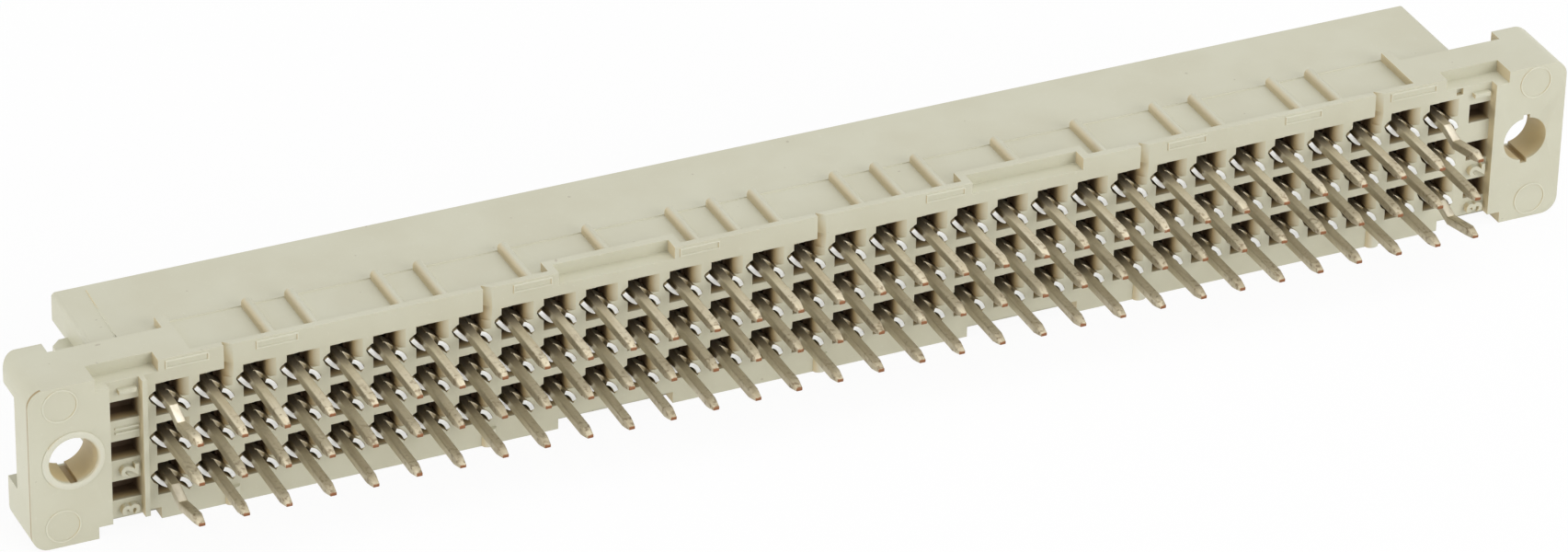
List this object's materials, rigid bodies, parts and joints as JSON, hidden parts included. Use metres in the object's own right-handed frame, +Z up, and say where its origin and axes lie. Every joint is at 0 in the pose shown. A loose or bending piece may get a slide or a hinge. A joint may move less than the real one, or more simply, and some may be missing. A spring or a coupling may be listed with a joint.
{
  "type": "board connector",
  "caption": "Long female board connector: a moulded block with rows of socket cavities, stamped contacts with solder tails, and flanged ends with mounting holes.",
  "frame": {"origin": "middle of the bounding box on plan, on the plane that the underside rests on", "axes": "+X along the contact rows, +Y out of the mating face, solder tails to -Y, +Z up with row a on top"},
  "size_m": [0.095, 0.0154, 0.0102],
  "materials": {
    "grey_plastic": "moulded glass-filled thermoplastic, light warm grey, matte with a slight sheen",
    "tinned_metal": "tin-plated stamped copper alloy, dull brown-grey with bright edges"
  },
  "bodies": {
    "root": {"housing": "grey_plastic", "contact_a01": "tinned_metal", "contact_a02": "tinned_metal", "contact_a03": "tinned_metal", "contact_a04": "tinned_metal", "contact_a05": "tinned_metal", "contact_a06": "tinned_metal", "contact_a07": "tinned_metal", "contact_a08": "tinned_metal", "contact_a09": "tinned_metal", "contact_a10": "tinned_metal", "contact_a11": "tinned_metal", "contact_a12": "tinned_metal", "contact_a13": "tinned_metal", "contact_a14": "tinned_metal", "contact_a15": "tinned_metal", "contact_a16": "tinned_metal", "contact_a17": "tinned_metal", "contact_a18": "tinned_metal", "contact_a19": "tinned_metal", "contact_a20": "tinned_metal", "contact_a21": "tinned_metal", "contact_a22": "tinned_metal", "contact_a23": "tinned_metal", "contact_a24": "tinned_metal", "contact_a25": "tinned_metal", "contact_a26": "tinned_metal", "contact_a27": "tinned_metal", "contact_a28": "tinned_metal", "contact_a29": "tinned_metal", "contact_a30": "tinned_metal", "contact_a31": "tinned_metal", "contact_a32": "tinned_metal", "contact_b01": "tinned_metal", "contact_b02": "tinned_metal", "contact_b03": "tinned_metal", "contact_b04": "tinned_metal", "contact_b05": "tinned_metal", "contact_b06": "tinned_metal", "contact_b07": "tinned_metal", "contact_b08": "tinned_metal", "contact_b09": "tinned_metal", "contact_b10": "tinned_metal", "contact_b11": "tinned_metal", "contact_b12": "tinned_metal", "contact_b13": "tinned_metal", "contact_b14": "tinned_metal", "contact_b15": "tinned_metal", "contact_b16": "tinned_metal", "contact_b17": "tinned_metal", "contact_b18": "tinned_metal", "contact_b19": "tinned_metal", "contact_b20": "tinned_metal", "contact_b21": "tinned_metal", "contact_b22": "tinned_metal", "contact_b23": "tinned_metal", "contact_b24": "tinned_metal", "contact_b25": "tinned_metal", "contact_b26": "tinned_metal", "contact_b27": "tinned_metal"}
  },
  "joints": []
}
